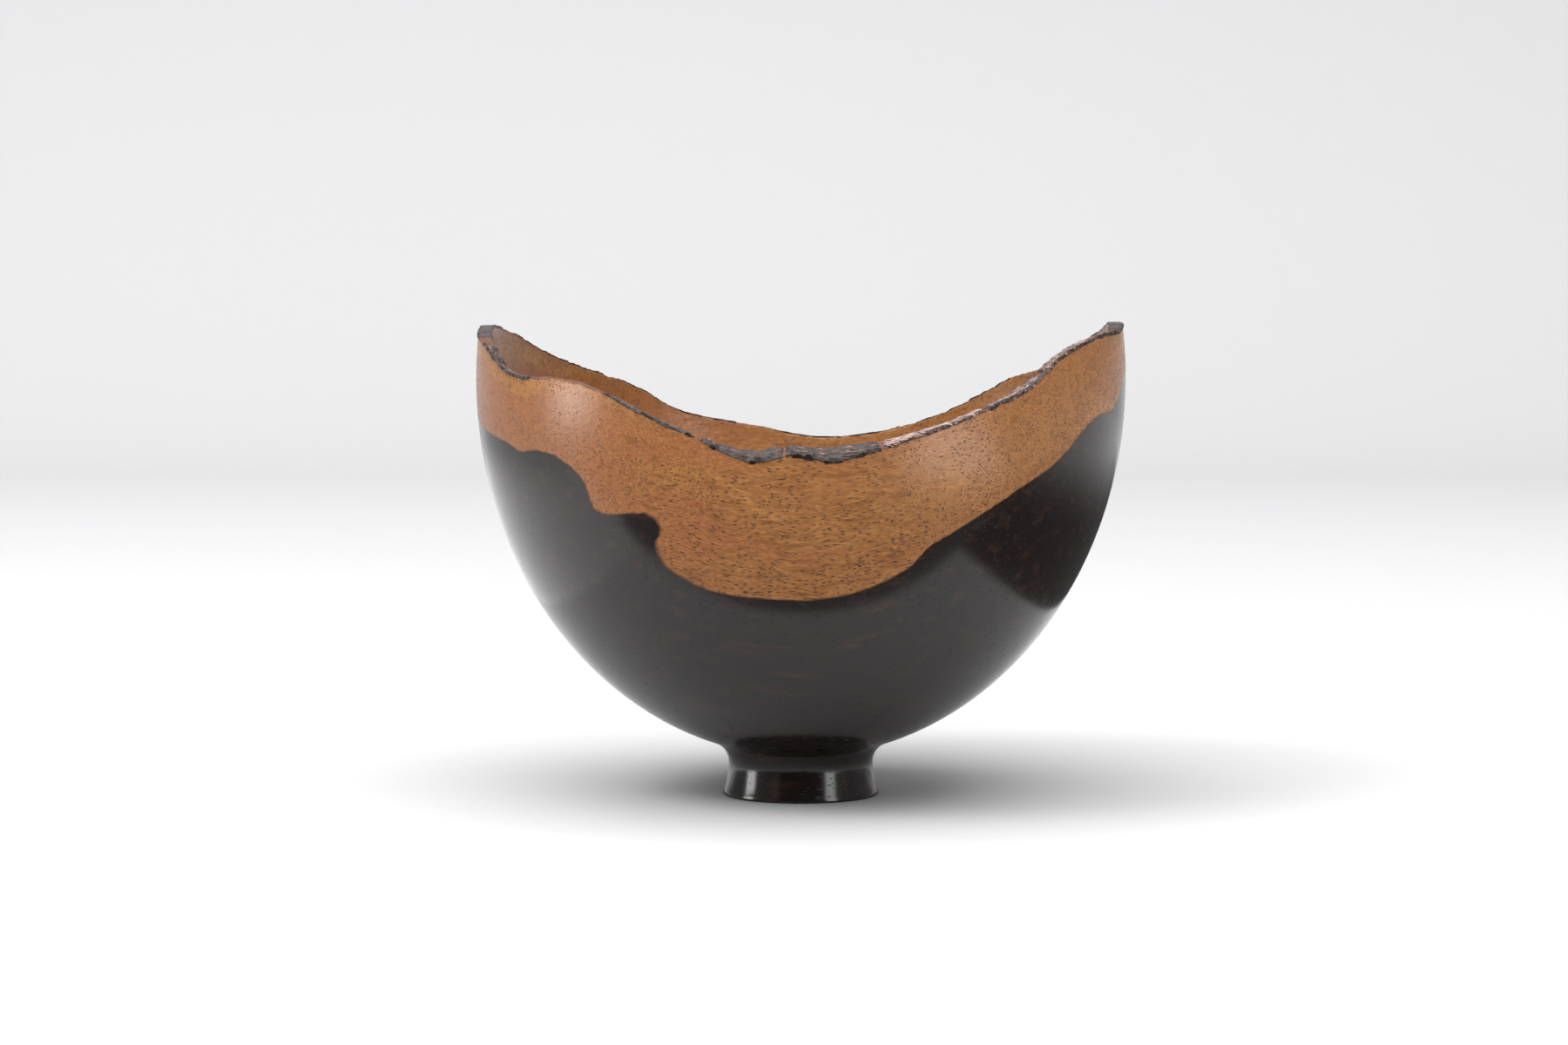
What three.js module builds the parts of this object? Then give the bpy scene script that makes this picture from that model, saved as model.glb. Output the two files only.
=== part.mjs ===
// A natural-edge bowl, turned from one short length of log: a black heartwood body with its foot, a tan
// sapwood wall on top of it, and remnants of inner bark on the rim. Millimetres, +Z up. The turning axis is Z,
// the log's own length lay along X, and the origin is the middle of the standing face.

import * as THREE from 'three';
import { mergeVertices } from 'three/addons/utils/BufferGeometryUtils.js';

// Overall sizes.
const BOWL_RADIUS = 75; // outside, at the widest ring
const WIDEST_HEIGHT = 96.7; // height of the widest ring
const RIM_HEIGHT = 109.8; // the sapwood's highest tip
const WALL = 3; // wall thickness at the widest ring
const FLOOR = 5.4; // wood between the hollow and the top of the foot, on the axis

// Foot.
const FOOT_HEIGHT = 9.1; // where the outside curve would meet the axis
const FOOT_RADIUS = 18.2;
const FOOT_BEVEL = 0.5;
const FLARE_HEIGHT = 7; // arris between the flared foot and the cove above it
const FLARE_WIDTH = 1.4; // how far the foot stands out past that arris
const FLARE_CURVE = 0.3; // share of that width which the flare has at half its height
const COVE_WIDTH = 4; // how far the cove sweeps out under the bowl
const COVE_UNDERCUT = 0.2; // how far the cove's bend stands in from the arris
const COVE_BEND = 0.75; // share of the cove's height at which it bends
const RING_WIDTH = 4.4; // standing ring round the shallow recess underneath
const RECESS_DEPTH = 1;
const RECESS_SLOPE = 0.8; // run of the recess's sloping side

// The log and its layers.
const HEART_LOG_RADIUS = 85; // radius of the log's heartwood
const STEEPEST_LAYER = 0.8; // share of that radius past which a layer gets no steeper
const LAYER_GAP = 0.3; // clearance between two neighbouring layers
const BARK_INSET = 0.15; // bark stands back from both faces of the wall
const BARK_END = 0.6; // share of its full thickness that a bark plate has at its two ends

// How finely the shapes are divided.
const COLUMNS_PER_POINT = 2;
const RIM_STEPS_PER_POINT = 6;
const FLARE_STEPS = 3;
const COVE_STEPS = 5;
const EVEN_REACH = 9; // columns on each side that a column's plain angle is evened out over
const HEART_BLEND = 6; // how late the heartwood's columns turn from their plain angle to the heart line
const SAPWOOD_BLEND = 3; // how soon the sapwood's columns turn back to their plain angle above the line
const BODY_ROWS = 11;
const HOLLOW_ROWS = 9;
const SAPWOOD_ROWS = 4;
const BARK_STEP = 2.6; // degrees
const SAME_POINT = 1e-4; // points closer together than this are one point

// The rim of the sapwood, all the way round: [angle in degrees from +X, how far the inner edge lies below the
// highest tip, and how far the outer edge does].
const RIM = [
  [0, 0, 0.2], [10, 1.8, 2], [20, 5, 5.3], [30, 9.2, 9.8], [38, 12.8, 13.6], [44, 14.4, 15.3],
  [51, 18.4, 19.5], [57, 22, 23.4], [63, 25, 26.7], [69, 27.2, 29], [75, 29.1, 31.1], [83, 30.1, 32.2],
  [90, 29.6, 31.8], [97, 27.8, 29.9], [103, 26.3, 28.3], [109, 25.1, 26.9], [115, 23.1, 24.6],
  [121, 19, 20.2], [127, 15.8, 16.8], [134, 13.2, 14], [141, 10.8, 11.4], [150, 7.3, 7.8],
  [159, 3.8, 4.2], [167, 2, 2.3], [176, 0.9, 1.1], [184, 2.4, 2.8], [191, 4, 3.6], [197, 6.4, 4.9],
  [202, 8.9, 7.2], [208, 10.9, 9.9], [213, 11.6, 11.1], [218, 10.8, 11.1], [224, 11.2, 10.9],
  [230, 12.3, 11.9], [235, 14.6, 13.8], [240, 17.3, 16.6], [246, 20.4, 19.8], [252, 23.4, 22.8],
  [256, 24.9, 25.5], [260, 25.7, 27.3], [264, 25.6, 27.6], [269, 25, 26.3], [275, 25.2, 27.7],
  [280, 24.4, 26.4], [285, 23.5, 24.4], [291, 21.8, 22.1], [297, 19.8, 19.7], [303, 17.2, 16.9],
  [309, 14.4, 14.6], [314, 11.1, 11.4], [319, 7.6, 7.1], [325, 4.9, 4.5], [332, 3.3, 2.7],
  [339, 2.6, 1.9], [346, 1.9, 1.8], [353, 0.5, 0.7],
];

// The line between heartwood and sapwood on the outside: [angle, how far it lies below the highest tip].
const HEART_LINE = [
  [0, 12], [8, 17], [17, 21], [26, 23.5], [34, 26], [42, 32.5], [50, 40], [57, 46], [64, 50.5], [72, 54],
  [81, 55.5], [89, 53.5], [98, 56], [106, 54], [113, 50], [119, 44], [123, 37.5], [129, 36], [136, 33],
  [143, 27.5], [151, 24.5], [160, 23.5], [170, 20], [178, 19.5], [186, 21.5], [193, 23.2], [200, 24.8],
  [207, 26], [212, 27.8], [217, 27.3], [222, 28], [226, 30.2], [228.6, 33], [229.6, 36.5],
  [230.2, 39.5], [233, 40.5], [237, 40.3], [240.5, 40], [242.8, 41], [243.8, 42.8], [243.5, 44.6],
  [242.5, 46.2], [242.3, 48.2], [243.4, 51.4], [246.6, 54.2], [251, 56.6], [257, 58], [265, 58.7],
  [273, 58.7], [280, 57.4], [286, 54.6], [290.5, 51.6], [293.5, 47.4], [298, 44.2], [304, 40],
  [311, 35.2], [318, 31], [323, 27], [327.5, 22.8], [333, 20], [339, 19.4], [342.5, 17.6], [346.5, 13.6],
  [352, 11],
];

// How far a column leans towards rising angle near the overhang of the heart line: [middle, half width, lean],
// all in degrees.
const LEAN = [243, 36, 13];

// Bark remnants: [name, first angle, last angle, thickness].
const BARK = [
  ['bark_right_tip', -11, 6, 1.2],
  ['bark_back_right', 13, 35, 1],
  ['bark_back_strip', 45, 66, 0.9],
  ['bark_back', 70, 97, 1.2],
  ['bark_back_left', 103, 128, 1],
  ['bark_back_scale', 132, 161, 0.8],
  ['bark_left_tip', 168, 188, 1.1],
  ['bark_left_fleck', 195, 203, 1],
  ['bark_left_scale', 204.5, 216, 0.7],
  ['bark_left_strip', 235, 251.5, 0.6],
  ['bark_front_left', 253, 266.5, 1.2],
  ['bark_front', 267.5, 283, 1.2],
  ['bark_front_right', 284, 302, 0.9],
  ['bark_right_shoulder', 303, 315, 1],
  ['bark_right_scale', 316, 331, 0.9],
  ['bark_right_lobe', 332, 346.5, 1],
];

const HEART_COLOUR = 0x211c19;
const SAPWOOD_COLOUR = 0xb07f4b;
const BARK_COLOUR = 0x57392f;

const radians = THREE.MathUtils.degToRad;
const lerp = THREE.MathUtils.lerp;

// The bowl's outside and inside are both stretched spheres about the widest ring.
const hollowBottom = FOOT_HEIGHT + FLOOR;
const outside = { radius: BOWL_RADIUS, depth: WIDEST_HEIGHT - FOOT_HEIGHT };
const inside = { radius: BOWL_RADIUS - WALL, depth: WIDEST_HEIGHT - hollowBottom };

function radiusAt(surface, height) {
  const share = (WIDEST_HEIGHT - height) / surface.depth;
  return surface.radius * Math.sqrt(Math.max(0, 1 - share * share));
}

function slopeAngleAt(surface, height) {
  return Math.acos(THREE.MathUtils.clamp((WIDEST_HEIGHT - height) / surface.depth, -1, 1));
}

function polar(angle, radius, height) {
  return new THREE.Vector3(radius * Math.cos(angle), radius * Math.sin(angle), height);
}

// A point in the wall: across 0 is the inside face and across 1 is the outside face.
function wallPoint(angle, height, across) {
  return polar(angle, lerp(radiusAt(inside, height), radiusAt(outside, height), across), height);
}

// A smooth closed line round the bowl through angle and depth points, read back as angles and heights.
function closedLine(points, count) {
  const knots = points.map(([angle, depth]) => polar(radians(angle), BOWL_RADIUS, RIM_HEIGHT - depth));
  const curve = new THREE.CatmullRomCurve3(knots, true, 'centripetal');
  const places = curve.getPoints(count).slice(0, count);
  let last = 0;
  return places.map((place) => {
    const turns = Math.round((last - Math.atan2(place.y, place.x)) / (2 * Math.PI));
    last = Math.atan2(place.y, place.x) + turns * 2 * Math.PI;
    return { angle: last, height: place.z };
  });
}

// The height of a closed line at an angle.
function heightAt(line, angle) {
  const turn = 2 * Math.PI;
  const wanted = ((angle % turn) + turn) % turn;
  const next = line.findIndex((place) => place.angle > wanted);
  const after = next < 0 ? { angle: turn, height: line[0].height } : line[next];
  const before = line[next < 0 ? line.length - 1 : next - 1];
  return lerp(before.height, after.height, (wanted - before.angle) / (after.angle - before.angle));
}

// The heartwood, round in the log, rises towards the inside of the wall, most where the wall faces +Y or -Y.
function heartRise(angle) {
  const side = Math.min(BOWL_RADIUS * Math.abs(Math.sin(angle)), STEEPEST_LAYER * HEART_LOG_RADIUS);
  const slope = side / Math.sqrt(HEART_LOG_RADIUS * HEART_LOG_RADIUS - side * side);
  return WALL * Math.abs(Math.sin(angle)) * slope;
}

const columns = HEART_LINE.length * COLUMNS_PER_POINT;
const heartLine = closedLine(HEART_LINE, columns);
const [innerRim, outerRim] = [1, 2].map((edge) => {
  return closedLine(RIM.map((point) => [point[0], point[edge]]), RIM.length * RIM_STEPS_PER_POINT);
});

// Each column's plain angle: the heart line's angle, evened out over its neighbours.
const plainAngles = heartLine.map((_, column) => {
  let sum = 0;
  for (let step = -EVEN_REACH; step <= EVEN_REACH; step += 1) {
    const turn = Math.floor((column + step) / columns);
    sum += heartLine[column + step - turn * columns].angle + turn * 2 * Math.PI;
  }
  return sum / (2 * EVEN_REACH + 1);
});

function leanAt(angle) {
  const [middle, halfWidth, most] = LEAN.map(radians);
  const share = Math.min(1, Math.abs(angle - middle) / halfWidth);
  return most * (1 - share * share) ** 2;
}

// The heart line at one column, moved across itself by half the clearance: side 1 is the sapwood, -1 the heart.
function heartEdge(column, side) {
  const before = heartLine[(column + columns - 1) % columns];
  const here = heartLine[column];
  const after = heartLine[(column + 1) % columns];
  const turn = after.angle - before.angle;
  const run = BOWL_RADIUS * (turn - 2 * Math.PI * Math.round(turn / (2 * Math.PI)));
  const climb = after.height - before.height;
  const shift = (side * LAYER_GAP) / 2 / Math.hypot(run, climb);
  return {
    angle: here.angle - (shift * climb) / BOWL_RADIUS,
    height: here.height + shift * run,
  };
}

// A closed surface of revolution whose points are then put in their real place, column by column.
function turned(rows, place, closesOnItself) {
  const count = closesOnItself ? rows + 1 : rows;
  const profile = Array.from({ length: count }, (_, row) => new THREE.Vector2(1, row));
  const geometry = new THREE.LatheGeometry(profile, columns);
  const position = geometry.getAttribute('position');
  for (let index = 0; index < position.count; index += 1) {
    const column = Math.floor(index / count) % columns;
    const point = place(column, (index % count) % rows);
    position.setXYZ(index, point.x, point.y, point.z);
  }
  return closed(geometry);
}

// Joins the points that lie on each other and drops faces that have no area.
function closed(geometry) {
  geometry.deleteAttribute('normal');
  geometry.deleteAttribute('uv');
  const merged = mergeVertices(geometry, SAME_POINT);
  const corners = merged.index.array;
  const kept = [];
  for (let i = 0; i < corners.length; i += 3) {
    const [a, b, c] = [corners[i], corners[i + 1], corners[i + 2]];
    if (a !== b && b !== c && c !== a) kept.push(a, b, c);
  }
  merged.setIndex(kept);
  merged.computeVertexNormals();
  return merged;
}

// The foot's outline from the middle of its underside, round the standing ring and up the cove.
function footOutline() {
  const ringInside = FOOT_RADIUS - FOOT_BEVEL - RING_WIDTH;
  const waist = FOOT_RADIUS - FLARE_WIDTH;
  const coveRadius = waist + COVE_WIDTH;
  const coveAngle = Math.asin(coveRadius / BOWL_RADIUS);
  const coveTop = new THREE.Vector2(coveRadius, WIDEST_HEIGHT - outside.depth * Math.cos(coveAngle));
  const arris = new THREE.Vector2(waist, FLARE_HEIGHT);
  const bend = new THREE.Vector2(waist - COVE_UNDERCUT, lerp(FLARE_HEIGHT, coveTop.y, COVE_BEND));
  const cove = new THREE.QuadraticBezierCurve(arris, bend, coveTop).getPoints(COVE_STEPS);
  const flare = new THREE.QuadraticBezierCurve(
    new THREE.Vector2(FOOT_RADIUS, FOOT_BEVEL),
    new THREE.Vector2(lerp(waist, FOOT_RADIUS, FLARE_CURVE), FLARE_HEIGHT / 2),
    arris,
  ).getPoints(FLARE_STEPS);
  return [
    new THREE.Vector2(0, RECESS_DEPTH),
    new THREE.Vector2(ringInside - RECESS_SLOPE, RECESS_DEPTH),
    new THREE.Vector2(ringInside, 0),
    new THREE.Vector2(FOOT_RADIUS - FOOT_BEVEL, 0),
    ...flare,
    ...cove.slice(1),
  ];
}

// The black body: foot, cove, outside up to the heart line, and the inside back down to the axis.
function heartwood() {
  const foot = footOutline();
  const coveTop = foot[foot.length - 1];
  const rows = foot.length + BODY_ROWS + HOLLOW_ROWS + 1;
  const place = (column, row) => {
    const plain = plainAngles[column] - leanAt(plainAngles[column]);
    if (row < foot.length) return polar(plain, foot[row].x, foot[row].y);
    const edge = heartEdge(column, -1);
    const onOutside = row < foot.length + BODY_ROWS;
    const surface = onOutside ? outside : inside;
    const rise = onOutside ? 0 : heartRise(edge.angle);
    const low = onOutside ? slopeAngleAt(outside, coveTop.y) : 0;
    const high = slopeAngleAt(surface, edge.height + rise);
    const share = onOutside
      ? (row - foot.length + 1) / BODY_ROWS
      : 1 - (row - foot.length - BODY_ROWS) / HOLLOW_ROWS;
    const slope = lerp(low, high, share);
    const height = WIDEST_HEIGHT - surface.depth * Math.cos(slope);
    return polar(lerp(plain, edge.angle, share ** HEART_BLEND), surface.radius * Math.sin(slope), height);
  };
  return turned(rows, place, false);
}

// The tan wall from the heart line up to the rim, as one ring that closes on itself.
function sapwood() {
  const rows = 2 * (SAPWOOD_ROWS + 1);
  const place = (column, row) => {
    const edge = heartEdge(column, 1);
    const onOutside = row <= SAPWOOD_ROWS;
    const share = onOutside ? row / SAPWOOD_ROWS : (rows - 1 - row) / SAPWOOD_ROWS;
    const top = plainAngles[column] + leanAt(plainAngles[column]);
    const angle = lerp(top, edge.angle, (1 - share) ** SAPWOOD_BLEND);
    const rise = onOutside ? 0 : heartRise(edge.angle);
    const rim = heightAt(onOutside ? outerRim : innerRim, top);
    return wallPoint(angle, lerp(edge.height + rise, rim, share), onOutside ? 1 : 0);
  };
  return turned(rows, place, true);
}

// One bark plate, bent from a box onto the rim face: x runs across the wall, y along the rim and z up.
function bark(first, last, thickness) {
  const steps = Math.ceil((last - first) / BARK_STEP);
  const geometry = new THREE.BoxGeometry(1, 1, 1, 2, steps, 1);
  const position = geometry.getAttribute('position');
  for (let index = 0; index < position.count; index += 1) {
    const across = position.getX(index) + 0.5;
    const along = position.getY(index) + 0.5;
    const up = position.getZ(index) + 0.5;
    const angle = radians(lerp(first, last, along));
    const rim = lerp(heightAt(innerRim, angle), heightAt(outerRim, angle), across);
    const full = thickness * lerp(BARK_END, 1, Math.sin(Math.PI * along));
    const height = rim + LAYER_GAP + up * full;
    const radius = THREE.MathUtils.mapLinear(
      across,
      0,
      1,
      radiusAt(inside, height) + BARK_INSET,
      radiusAt(outside, height) - BARK_INSET,
    );
    const point = polar(angle, radius, height);
    position.setXYZ(index, point.x, point.y, point.z);
  }
  return closed(geometry);
}

function piece(name, geometry, color, roughness) {
  const material = new THREE.MeshStandardMaterial({ color, roughness, metalness: 0 });
  const mesh = new THREE.Mesh(geometry, material);
  mesh.name = name;
  return mesh;
}

const bowl = new THREE.Group();
bowl.add(piece('heartwood_bowl', heartwood(), HEART_COLOUR, 0.3));
bowl.add(piece('sapwood_wall', sapwood(), SAPWOOD_COLOUR, 0.4));
for (const [name, first, last, thickness] of BARK) {
  bowl.add(piece(name, bark(first, last, thickness), BARK_COLOUR, 0.6));
}

export default bowl;
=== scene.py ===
"""A natural-edge bowl turned from one short log: black heartwood, tan sapwood and remnants of inner bark.

Everything is in metres, +Z up along the turning axis. The log's own length lay along X, and -Y is the
front. The heart line, the rim and the places of the bark are read from the model's own nodes, so this file
only repeats the sizes of the two turned curves and of the foot.
"""

import math

import bmesh
import bpy
import numpy as np
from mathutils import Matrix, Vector, noise


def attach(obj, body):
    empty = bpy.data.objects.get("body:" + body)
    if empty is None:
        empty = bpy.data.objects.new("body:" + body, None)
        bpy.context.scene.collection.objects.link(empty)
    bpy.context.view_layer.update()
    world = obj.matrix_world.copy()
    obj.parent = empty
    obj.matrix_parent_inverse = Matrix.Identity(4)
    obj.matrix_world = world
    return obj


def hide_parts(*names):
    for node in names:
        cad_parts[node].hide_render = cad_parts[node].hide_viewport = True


bl_info = {
    "name": "Natural-Edge Bowl",
    "version": (1, 0, 0),
    "blender": (4, 5, 0),
    "location": "View3D > Sidebar > Bowl",
    "description": "Makes a natural-edge turned bowl, its three layers of wood and a plain stage",
    "category": "Object",
}

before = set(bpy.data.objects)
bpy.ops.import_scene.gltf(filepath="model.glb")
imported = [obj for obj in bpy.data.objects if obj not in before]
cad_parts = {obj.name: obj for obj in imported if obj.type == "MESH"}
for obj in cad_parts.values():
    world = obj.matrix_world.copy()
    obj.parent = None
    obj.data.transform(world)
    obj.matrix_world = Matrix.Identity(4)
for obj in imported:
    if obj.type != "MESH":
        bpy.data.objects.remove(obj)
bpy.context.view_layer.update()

MM = 0.001

# How finely the pieces are divided.
FINE_COLUMNS = 7  # for each column of the model
EVEN_REACH = 9  # model columns on each side that a column's plain angle is evened out over
HEART_BLEND = 6  # how late the heartwood's columns turn from their plain angle to the heart line
SAPWOOD_BLEND = 3  # how soon the sapwood's columns turn back above it
BODY_ROWS = 40
HOLLOW_ROWS = 30
WALL_ROWS = 48
WALL_INSIDE_ROWS = 32
BARK_GRAIN = 0.22 * MM  # spacing of the points on a bark plate
BARK_ROWS = 19
BEVEL_POINTS = 6
FLARE_STEPS = 9
COVE_STEPS = 12
SWEEP_POINTS = 13

ON_SURFACE = 0.02 * MM  # a vertex this close to a turned curve lies on it
WELD = 0.0005 * MM
SMOOTH_ANGLE = math.radians(32)

# The foot.
SOFT_EDGE = 0.12 * MM  # half width of the small flat that softens an edge of the recess
RECESS_SLOPE = 0.8 * MM  # run of the recess's sloping side
FLARE_CURVE = 0.3  # share of the flare's width that it has at half its height
COVE_UNDERCUT = 0.2 * MM  # how far the cove's bend stands in from the arris
COVE_BEND = 0.75  # share of the cove's height at which it bends

# Grain of the raggedness on the two lines and on the rim's face.
SEAM_GRAIN = 1.1 * MM
SEAM_FINE_GRAIN = 0.5 * MM
RIM_GRAIN = 2.4 * MM
RIM_FINE_GRAIN = 0.7 * MM
RIM_FACE_GRAIN = 0.45 * MM
RIM_FACE_RELIEF = 0.16 * MM
RIM_ROUNDING = 0.3 * MM
RIM_SHARES = (0.02, 0.06, 0.12, 0.24, 0.38, 0.5, 0.62, 0.76, 0.88, 0.94, 0.98)  # points across the face

# The bark's flakes.
BARK_SHARE = 0.6  # share of the model's bark thickness that the flakes keep on average
WORN_SHARE = 0.65  # the same where the bark is worn
FAR_SHARE = 0.25  # the same on the far half and at the tips, where it is worn nearly flush
WORN_RELIEF = 0.4  # share of the flakes' depth that is left where the bark is worn
TIP_RELIEF = 0.25  # the same at the tips
FAR_RELIEF = 0.1  # the same on the far half
WORN_BELOW = 1.45 * MM  # thickness below which bark counts as worn
WORN_RANGE = 0.2 * MM  # how much thinner it is where it is fully worn
TIP_COSINE = 0.96  # past this share of the radius along X a plate sits on a tip
FLUSH_PALENESS = -0.6  # bark worn nearly flush is dark
FRONT_PALENESS = 1.3  # worn bark is pale at the front, and less so towards +X
BARK_THINNEST = 0.1 * MM
PLATE_THINNEST = 0.4 * MM
BARK_SPREAD = 0.35 * MM  # how far the ragged ends reach out past the model's plain ones
END_TAPER = 1.8 * MM
SIDE_TAPER = 0.15 * MM
FLAKE_GRAIN = 1.6 * MM
STRIP_GRAIN = 0.75 * MM
CRUMB_GRAIN = 0.3 * MM
FLAKE_STEP = 0.4  # height of one flake, as a share of the relief
INNER_SHARE = 0.6  # share of its thickness that a plate has at its inner edge
INNER_RELIEF = 0.3  # share of its relief there
BARK_SINK = 0.12 * MM  # how deep the bark is set into the rim
BARK_OVERHANG = 0.15 * MM
LIP_START = 0.75  # share of the rim's width past which the bark hangs down over the outside
LIP_OUT = 0.2 * MM  # how far the hanging lip stands out
LIP_HANG = 1.7  # how far it hangs, in depths of the relief

# The stage.
FLOOR_FRONT = -2.0
FLOOR_BACK = 1.2
SWEEP_RADIUS = 0.4
BACKDROP_HEIGHT = 3.2
STAGE_HALF_WIDTH = 2.0
PLINTH_FRONT = -0.085  # where the floor seems to end, to gloss only
PLINTH_BACK = 0.78
PLINTH_LEFT = -0.115
PLINTH_RIGHT = 0.112
ROOM_FRONT = -2.4
BOWL_MIDDLE = Vector((0, 0, 0.07))
SKY_DIFFUSE = 0.6  # how bright the world is to matt surfaces
SKY_GLOSS = 0.25  # the same to gloss
SKY_SEEN_MORE = 0.24  # how much brighter than to matt surfaces it looks beyond the floor
LOOK_DOWN = math.radians(4.183)  # how far the camera looks down


class BowlSizes(bpy.types.PropertyGroup):
    """Sizes that a user would change."""

    radius: bpy.props.FloatProperty(
        name="Radius", description="Outside, at the widest ring", default=75 * MM, unit="LENGTH"
    )
    widest_height: bpy.props.FloatProperty(
        name="Widest height", description="Height of the widest ring", default=96.7 * MM, unit="LENGTH"
    )
    wall: bpy.props.FloatProperty(
        name="Wall", description="Wall thickness at the widest ring", default=3 * MM, unit="LENGTH"
    )
    floor: bpy.props.FloatProperty(
        name="Floor", description="Wood between the hollow and the foot", default=5.4 * MM, unit="LENGTH"
    )
    foot_height: bpy.props.FloatProperty(
        name="Foot height", description="Where the outside curve would meet the axis", default=9.1 * MM,
        unit="LENGTH",
    )
    foot_radius: bpy.props.FloatProperty(
        name="Foot radius", description="Outside of the standing ring", default=18.2 * MM, unit="LENGTH"
    )
    foot_bevel: bpy.props.FloatProperty(
        name="Foot bevel", description="Rounding under the foot", default=0.5 * MM, unit="LENGTH"
    )
    flare_height: bpy.props.FloatProperty(
        name="Flare height", description="Arris between flare and cove", default=7 * MM, unit="LENGTH"
    )
    flare_width: bpy.props.FloatProperty(
        name="Flare width", description="How far the foot stands out past the arris", default=1.4 * MM,
        unit="LENGTH",
    )
    cove_width: bpy.props.FloatProperty(
        name="Cove width", description="How far the cove sweeps out", default=4 * MM, unit="LENGTH"
    )
    ring_width: bpy.props.FloatProperty(
        name="Ring width", description="Standing ring round the recess", default=4.4 * MM, unit="LENGTH"
    )
    recess_depth: bpy.props.FloatProperty(
        name="Recess depth", description="Shallow recess underneath", default=1 * MM, unit="LENGTH"
    )
    fibre_wobble: bpy.props.FloatProperty(
        name="Fibre wobble", description="Raggedness of the heart line", default=0.22 * MM, unit="LENGTH"
    )
    rim_wobble: bpy.props.FloatProperty(
        name="Rim wobble", description="Raggedness of the rim", default=0.35 * MM, unit="LENGTH"
    )
    bark_relief: bpy.props.FloatProperty(
        name="Bark relief", description="Depth of the flakes on the bark", default=0.55 * MM, unit="LENGTH"
    )


def linear(colour):
    """An sRGB hex colour as linear red, green, blue and alpha."""
    channels = [int(colour[place : place + 2], 16) / 255 for place in (1, 3, 5)]
    return [c / 12.92 if c <= 0.04045 else ((c + 0.055) / 1.055) ** 2.4 for c in channels] + [1.0]


def colour_property(name, description, default):
    return bpy.props.FloatVectorProperty(
        name=name, description=description, default=linear(default), size=4, subtype="COLOR", min=0, max=1
    )


class BowlColours(bpy.types.PropertyGroup):
    """Colours that a user would change."""

    heartwood: colour_property("Heartwood", "Blackwood, oiled", "#1a1412")
    heart_streak: colour_property("Heart streak", "Warmer streaks in the blackwood", "#33211a")
    sapwood: colour_property("Sapwood", "Golden tan", "#8e5e34")
    sapwood_red: colour_property("Reddish layers", "Soft reddish-brown layers", "#8f5836")
    streak: colour_property("Sapwood streaks", "Browner fibres", "#744824")
    sapwood_pale: colour_property("Pale layers", "Palest layers", "#b8834a")
    pore: colour_property("Pores", "Dark pores cut open", "#341b10")
    rim: colour_property("Rim face", "Bare rim under the bark", "#6b4838")
    # Painted shade: this dark colour goes into the hollows between the flakes and along the hanging lip,
    # as well as on the bark's own dark strands.
    bark_dark_and_shade: colour_property("Bark hollows", "Deep between flakes", "#1d100d")
    bark: colour_property("Bark", "Reddish-brown inner bark", "#553429")
    # Painted highlight: this pale mauve-grey goes on the high parts of the flakes, as well as on worn bark
    # at the front.
    bark_pale_and_highlight: colour_property("Bark crests", "Mauve-grey worn crests", "#b0968e")
    floor: colour_property("Floor", "Pale painted floor", "#bbbbbc")


# Turned curves.


class Turned:
    """One of the two turned curves: a stretched sphere about the widest ring."""

    def __init__(self, radius, depth, widest):
        self.radius = radius
        self.depth = depth
        self.widest = widest

    def radius_at(self, height):
        share = (self.widest - np.asarray(height)) / self.depth
        return self.radius * np.sqrt(np.clip(1 - share * share, 0, None))

    def slope_at(self, height):
        return np.arccos(np.clip((self.widest - np.asarray(height)) / self.depth, -1, 1))

    def height_on(self, slope):
        return self.widest - self.depth * np.cos(slope)

    def holds(self, point):
        return abs(math.hypot(point.x, point.y) - float(self.radius_at(point.z))) < ON_SURFACE


def turned_curves(sizes):
    hollow_bottom = sizes.foot_height + sizes.floor
    outside = Turned(sizes.radius, sizes.widest_height - sizes.foot_height, sizes.widest_height)
    inside = Turned(sizes.radius - sizes.wall, sizes.widest_height - hollow_bottom, sizes.widest_height)
    return outside, inside


def polar(angle, radius, height):
    """Points round the turning axis, from arrays that spread over each other."""
    angle, radius, height = np.broadcast_arrays(angle, radius, height)
    return np.stack([radius * np.cos(angle), radius * np.sin(angle), height], axis=-1)


def lerp(first, last, share):
    return first + (last - first) * share


# The heart line and the rim, read from the model.


def neighbours(vertex):
    return [edge.other_vert(vertex) for edge in vertex.link_edges]


def angle_of(vertex):
    return math.atan2(vertex.co.y, vertex.co.x)


def angle_between(first, second):
    return abs(math.remainder(first - second, math.tau))


def walk_ring(edge):
    """Takes one closed line out of a list of vertices, in order and anticlockwise from +X."""
    ring = [edge.pop(0)]
    while True:
        following = [vertex for vertex in neighbours(ring[-1]) if vertex in edge]
        if not following:
            break
        edge.remove(following[0])
        ring.append(following[0])
    angles = np.unwrap([angle_of(vertex) for vertex in ring])
    if angles[-1] < angles[0]:
        ring.reverse()
    start = min(range(len(ring)), key=lambda place: abs(angle_of(ring[place])))
    return ring[start:] + ring[:start]


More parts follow.
